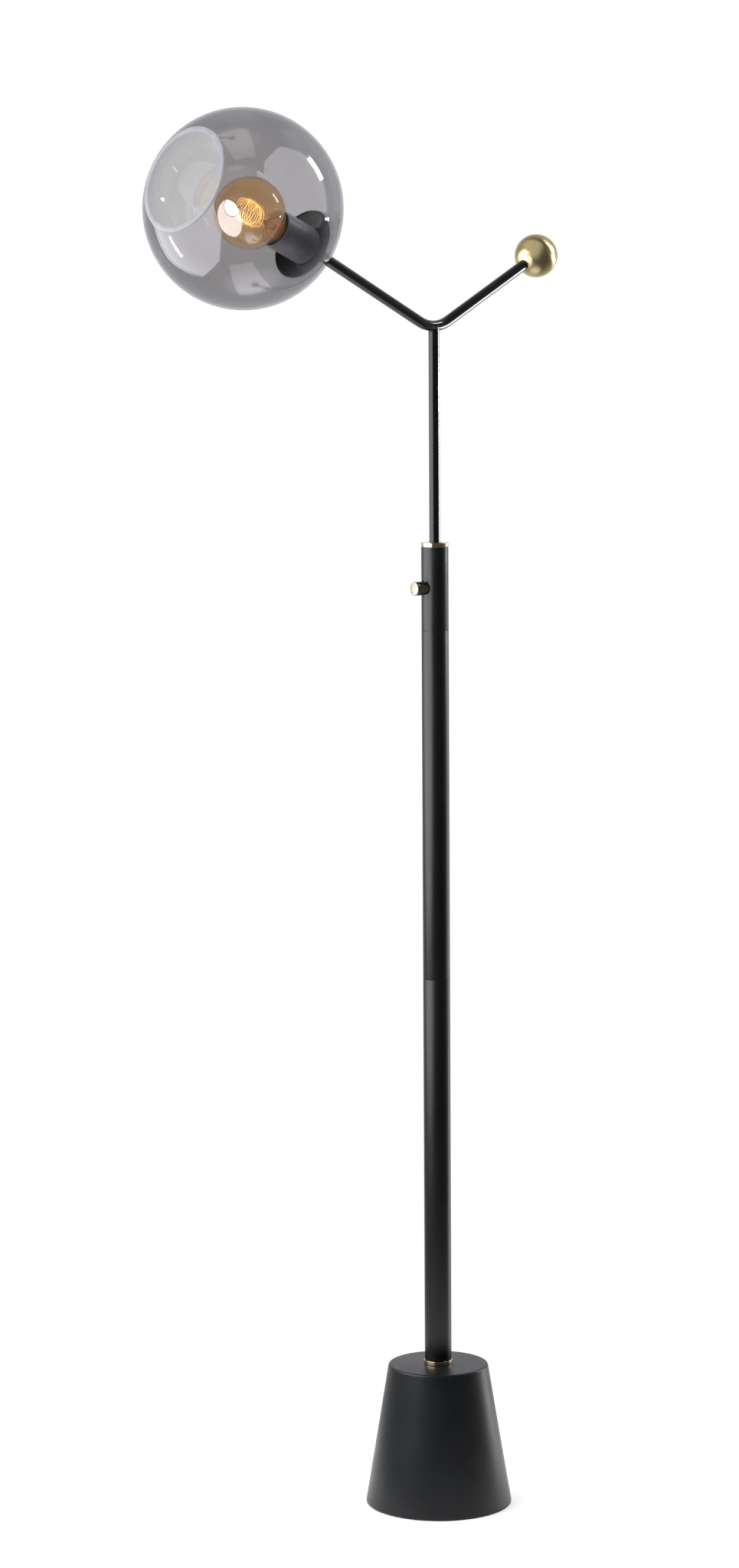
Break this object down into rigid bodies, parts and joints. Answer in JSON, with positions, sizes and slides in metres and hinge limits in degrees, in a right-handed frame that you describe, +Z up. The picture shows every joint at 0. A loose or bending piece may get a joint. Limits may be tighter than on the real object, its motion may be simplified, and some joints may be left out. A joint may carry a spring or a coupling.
{
  "type": "pharmacy floor lamp",
  "caption": "Floor lamp: conical ballasted base, slim pole with a rotary dimmer, and a swivelling V arm carrying an open smoked-glass globe shade and a round counterweight.",
  "frame": {"origin": "centre of the felt pad's underside, on the floor and on the pole's axis", "axes": "+Z up along the pole; the V arm lies in the XZ plane at rest, with the globe on the -X side and the ball on the +X side"},
  "size_m": [0.6092, 0.2202, 1.6306],
  "materials": {
    "satin_black": "satin black powder coat, slightly cool",
    "gloss_black": "gloss black lacquer on steel tube",
    "polished_brass": "polished brass",
    "brushed_brass": "fine brushed brass with a soft sheen",
    "champagne_metal": "polished champagne-nickel plate",
    "nickel": "bright nickel plate",
    "steel": "plain machined steel",
    "cast_iron": "rough casting",
    "felt": "black felt",
    "rubber": "matt black rubber",
    "dark_grey_metal": "semi-matt dark grey",
    "phenolic": "moulded black phenolic",
    "nylon": "natural nylon",
    "smoke_glass": "smoke-grey glass with a faint mirror plating",
    "amber_glass": "amber tinted glass",
    "clear_glass": "clear glass",
    "glowing_wire": "glowing filament wire"
  },
  "bodies": {
    "stand": {"floor_pad": "felt", "base_shell": "satin_black", "base_weight": "cast_iron", "base_grommet": "rubber", "tie_tube": "steel", "base_nut": "steel", "base_washer": "steel", "base_ring": "polished_brass", "base_coupling": "steel", "lower_pole_tube": "satin_black", "lower_coupler": "steel", "middle_pole_tube": "satin_black", "upper_coupler": "steel", "switch_housing": "satin_black", "switch_sleeve": "steel", "dimmer_body": "phenolic", "dimmer_nut": "nickel", "thrust_seat": "nylon", "top_collar": "polished_brass", "swivel_bushing": "nylon", "lead_lower": "rubber"},
    "knob": {"dimmer_shaft": "steel", "knob": "champagne_metal"},
    "arm": {"riser_stop": "steel", "riser_tube": "gloss_black", "v_arm": "gloss_black", "counterweight_ball": "brushed_brass", "ball_stud": "steel", "arm_plug": "steel", "glass_shade": "smoke_glass", "seat_washer": "nickel", "arm_nipple": "steel", "shade_holder": "gloss_black", "socket_cup": "dark_grey_metal", "socket_nut": "steel", "socket_body": "phenolic", "screw_shell": "polished_brass", "centre_contact": "polished_brass", "bulb_glass": "amber_glass", "bulb_cap": "nickel", "bulb_stem": "clear_glass", "filament": "glowing_wire", "lead_upper": "rubber", "socket_lead": "rubber"}
  },
  "joints": [
    {"name": "arm_swivel", "type": "hinge", "parent": "stand", "child": "arm", "pos_m": [0, 0, 1.14], "axis": [0, 0, 1], "range_deg": [-165, 165]},
    {"name": "dimmer_turn", "type": "hinge", "parent": "stand", "child": "knob", "pos_m": [0, 0, 1.09], "axis": [-0.9877, 0.1564, 0], "range_deg": [-150, 130]}
  ]
}
